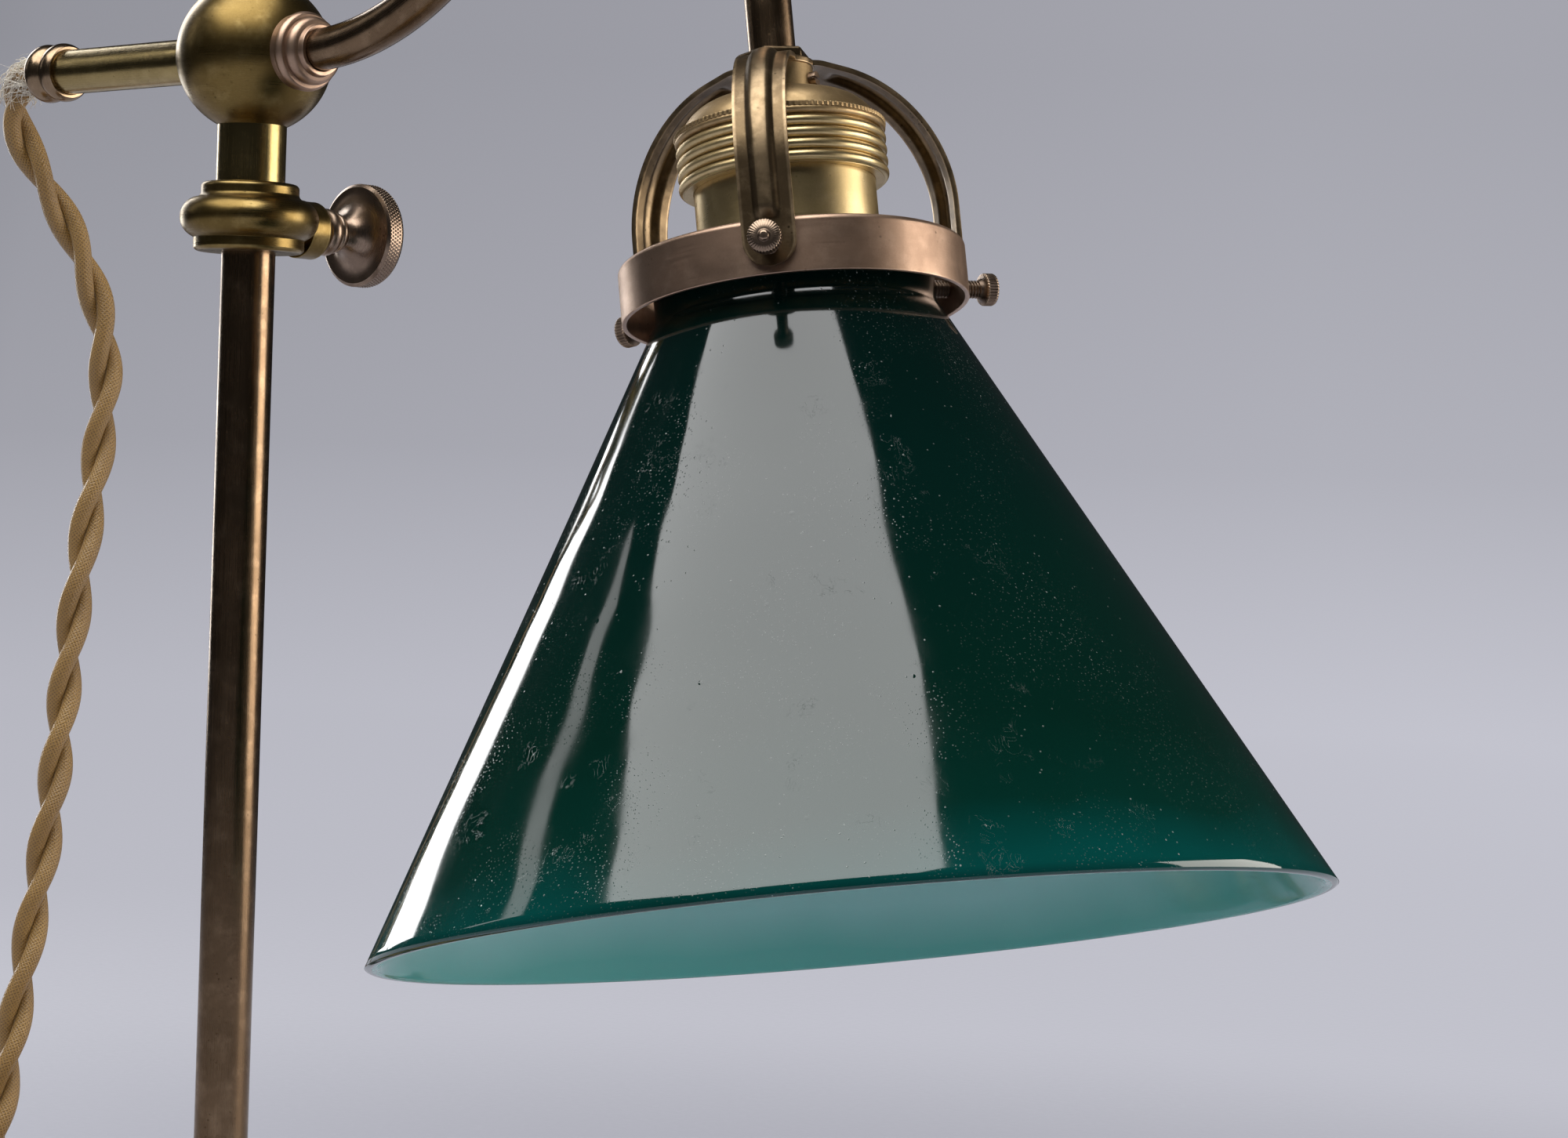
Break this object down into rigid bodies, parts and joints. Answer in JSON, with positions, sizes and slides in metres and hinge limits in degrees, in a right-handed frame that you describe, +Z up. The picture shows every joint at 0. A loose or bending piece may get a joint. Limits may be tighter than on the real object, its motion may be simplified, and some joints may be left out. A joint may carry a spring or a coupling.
{
  "type": "adjustable desk lamp",
  "caption": "Brass desk lamp with a head that slides on a round post and is clamped by a thumb screw, a gooseneck arm and a green cone glass shade.",
  "frame": {"origin": "on the table, on the post's axis, under the base's felt", "axes": "+Z up along the post; +X along the arm towards the shade; the clamp's thumb screw points to +Y"},
  "size_m": [0.4637, 0.3261, 0.501],
  "materials": {
    "aged_brass": "aged, satin, yellow-olive lacquer",
    "bronze_brass": "pink-brown patina on brass tube and strap",
    "dark_knob_brass": "brown patina, knurled",
    "bright_brass": "plain turned brass",
    "cast_iron": "as cast, black",
    "felt": "green wool felt",
    "steel": "zinc plated",
    "glass_green": "cased glass, dark green outside, opal inside, gloss",
    "bulb_clear": "clear",
    "tungsten": "fine wire",
    "porcelain": "glazed white",
    "gold_textile": "braided gold rayon over rubber",
    "rubber_dark": "matt",
    "bakelite_brown": "dark brown, polished",
    "leather_tie": "tan strap"
  },
  "bodies": {
    "base": {"base_cover": "aged_brass", "base_weight": "cast_iron", "base_felt": "felt", "base_washer": "steel"},
    "post": {"foot_nut": "steel", "post_stud": "bright_brass", "post_tube": "bronze_brass", "foot_collar": "aged_brass", "post_finial": "aged_brass", "cord_drop": "gold_textile", "cord_lead": "gold_textile", "cord_coil": "gold_textile", "coil_tie": "leather_tie", "cord_tail": "gold_textile", "switch_base": "bakelite_brown", "switch_cover": "bakelite_brown", "switch_pin": "steel", "switch_screws": "steel", "plug_body": "bakelite_brown", "plug_pins": "bright_brass", "plug_screw": "steel"},
    "head": {"clamp_collar": "aged_brass", "slide_sleeve": "aged_brass", "ball_shell": "aged_brass", "ball_neck_ring": "aged_brass", "rear_tube": "aged_brass", "rear_ferrule": "bronze_brass", "cord_bush": "rubber_dark", "arm_collar": "bronze_brass", "arm_tube": "bronze_brass", "arm_nut": "bronze_brass", "inner_lead": "rubber_dark", "gallery_spider": "bronze_brass", "gallery_ring": "bronze_brass", "holder_cap": "aged_brass", "holder_grub_screw": "aged_brass", "holder_shade_ring": "aged_brass", "holder_barrel": "aged_brass", "holder_core": "porcelain", "holder_screw_shell": "bright_brass", "holder_contact": "bright_brass", "holder_terminals": "bright_brass", "bulb_glass": "bulb_clear", "bulb_cap": "bright_brass", "bulb_tip": "steel", "bulb_stem": "bulb_clear", "bulb_filament": "tungsten", "shade": "glass_green"},
    "clamp_screw": {"clamp_screw": "dark_knob_brass"},
    "gallery_screw_1": {"gallery_screw_1": "bronze_brass"},
    "gallery_screw_2": {"gallery_screw_2": "bronze_brass"},
    "gallery_screw_3": {"gallery_screw_3": "bronze_brass"},
    "switch_rocker": {"switch_rocker": "bakelite_brown"}
  },
  "joints": [
    {"name": "post_swivel", "type": "hinge", "parent": "base", "child": "post", "pos_m": [0, 0, 0.0463], "axis": [0, 0, 1], "range_deg": [-60, 60]},
    {"name": "head_slide", "type": "slide", "parent": "post", "child": "head", "axis": [0, 0, 1], "range_m": [-0.11, 0.1]},
    {"name": "clamp_turn", "type": "hinge", "parent": "head", "child": "clamp_screw", "pos_m": [0, 0.03, 0.3043], "axis": [0, 1, 0], "range_deg": [0, 360]},
    {"name": "gallery_screw_1_turn", "type": "hinge", "parent": "head", "child": "gallery_screw_1", "pos_m": [0.14396, -0.00713, 0.27775], "axis": [-0.9736, -0.1058, -0.202], "range_deg": [0, 360]},
    {"name": "gallery_screw_2_turn", "type": "hinge", "parent": "head", "child": "gallery_screw_2", "pos_m": [0.20563, -0.03518, 0.29225], "axis": [0.568, -0.8072, 0.1604], "range_deg": [0, 360]},
    {"name": "gallery_screw_3_turn", "type": "hinge", "parent": "head", "child": "gallery_screw_3", "pos_m": [0.19913, 0.03363, 0.2875], "axis": [0.4056, 0.9131, 0.0417], "range_deg": [0, 360]},
    {"name": "switch_rock", "type": "hinge", "parent": "post", "child": "switch_rocker", "pos_m": [-0.11187, 0.10499, 0.0126], "axis": [-0.774, 0.6332, 0], "range_deg": [-16, 0]}
  ]
}
